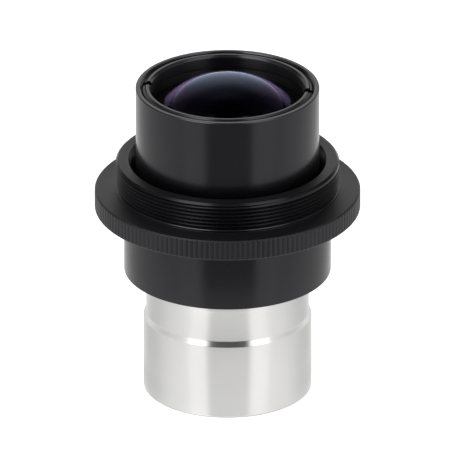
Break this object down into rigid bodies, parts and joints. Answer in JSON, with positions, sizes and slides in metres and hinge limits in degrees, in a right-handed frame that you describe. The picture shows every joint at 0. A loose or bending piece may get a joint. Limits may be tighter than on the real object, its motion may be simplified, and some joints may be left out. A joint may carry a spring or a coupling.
{
  "type": "telescope eyepiece",
  "caption": "Push-fit telescope eyepiece with a bright nose, black turned barrel, domed eye lens and a knurled screw-on T-thread adapter ring.",
  "frame": {"origin": "centre of the nose's open end, the lowest point of the eyepiece standing on its nose", "axes": "+Z along the optical axis from the nose to the eye lens; the retaining ring's spanner slots lie near X, and -Y is the side seen from in front"},
  "size_m": [0.05, 0.05, 0.063],
  "materials": {
    "nose_chrome": "polished",
    "black_anodised": "satin",
    "coated_glass": "polished",
    "seal_rubber": "matte",
    "black_nylon": "matte"
  },
  "bodies": {
    "eyepiece": {"nose_barrel": "nose_chrome", "nose_o_ring": "seal_rubber", "field_stop": "black_anodised", "lower_housing": "black_anodised", "upper_barrel": "black_anodised", "barrel_o_ring": "seal_rubber", "lens_sleeve": "black_anodised", "field_retaining_ring": "black_anodised", "field_washer": "black_nylon", "field_flint_lens": "coated_glass", "field_crown_lens": "coated_glass", "middle_lens": "coated_glass", "field_spacer": "black_anodised", "eye_spacer": "black_anodised", "eye_flint_lens": "coated_glass", "eye_crown_lens": "coated_glass", "eye_lens_bezel": "black_anodised", "retaining_washer": "black_nylon", "eye_retaining_ring": "black_anodised"},
    "adapter_carrier": {"adapter_grip_ring": "black_nylon"},
    "adapter": {"adapter_ring": "black_anodised"}
  },
  "joints": [
    {"name": "adapter_travel", "type": "slide", "parent": "eyepiece", "child": "adapter_carrier", "axis": [0, 0, 1], "range_m": [0, 0.00225]},
    {"name": "adapter_turn", "type": "hinge", "parent": "adapter_carrier", "child": "adapter", "pos_m": [0, 0, 0.0386], "axis": [0, 0, 1], "range_deg": [0, 1080]}
  ],
  "couplings": [
    {"joint": "adapter_travel", "follows": "adapter_turn", "m_per_rad": 0.00011937}
  ]
}
